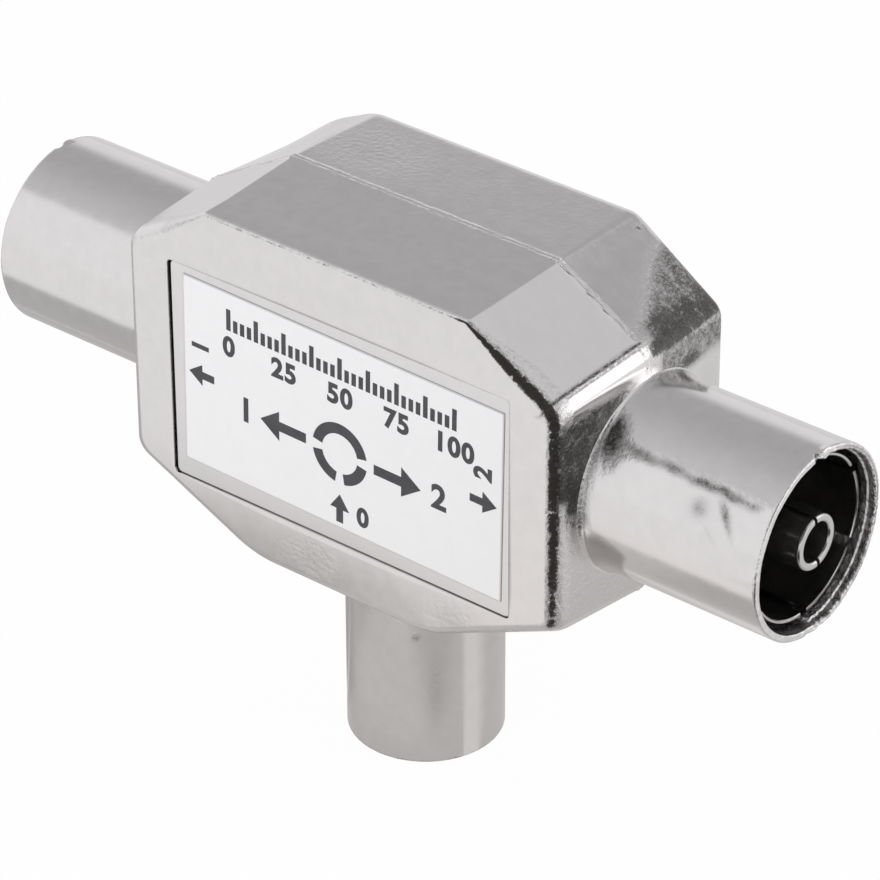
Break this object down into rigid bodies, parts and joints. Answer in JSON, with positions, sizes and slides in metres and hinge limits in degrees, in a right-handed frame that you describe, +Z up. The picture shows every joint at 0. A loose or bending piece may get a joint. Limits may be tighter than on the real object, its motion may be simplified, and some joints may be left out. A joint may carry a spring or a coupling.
{
  "type": "coaxial splitter",
  "caption": "Tee-shaped coaxial splitter: die-cast metal body, aerial plug below, a socket on each side, pressed-in cover plate with a white label.",
  "frame": {"origin": "centre of the plug shell's end, on the axis of the plug", "axes": "+Z up along the plug's axis towards the body; the sockets open along +X and -X; the cover plate and label face -Y"},
  "size_m": [0.0554, 0.0157, 0.0353],
  "materials": {
    "casting": "bright nickel plating over a zinc die-casting, with fine casting grain",
    "cover": "nickel-plated sheet steel, smooth",
    "label": "white self-adhesive film with dark grey print",
    "spring": "nickel-plated spring sheet",
    "contact": "nickel-plated turned brass",
    "insulator": "black moulded plastic",
    "board": "green glass-epoxy laminate",
    "ferrite": "dark grey sintered ferrite",
    "copper": "enamelled copper wire",
    "ceramic": "fired ceramic",
    "resistor": "beige lacquer",
    "tag": "tinned brass strip"
  },
  "bodies": {
    "root": {"body_casting": "casting", "cover_plate": "cover", "label": "label", "left_spring_sleeve": "spring", "right_spring_sleeve": "spring", "left_insulator": "insulator", "right_insulator": "insulator", "input_insulator": "insulator", "left_centre_contact": "contact", "right_centre_contact": "contact", "input_pin": "contact", "circuit_board": "board", "splitting_core": "ferrite", "matching_core": "ferrite", "splitting_winding": "copper", "matching_winding": "copper", "isolation_resistor": "resistor", "input_capacitor": "ceramic", "balance_capacitor": "ceramic", "left_output_capacitor": "ceramic", "right_output_capacitor": "ceramic", "ground_tag": "tag"}
  },
  "joints": []
}
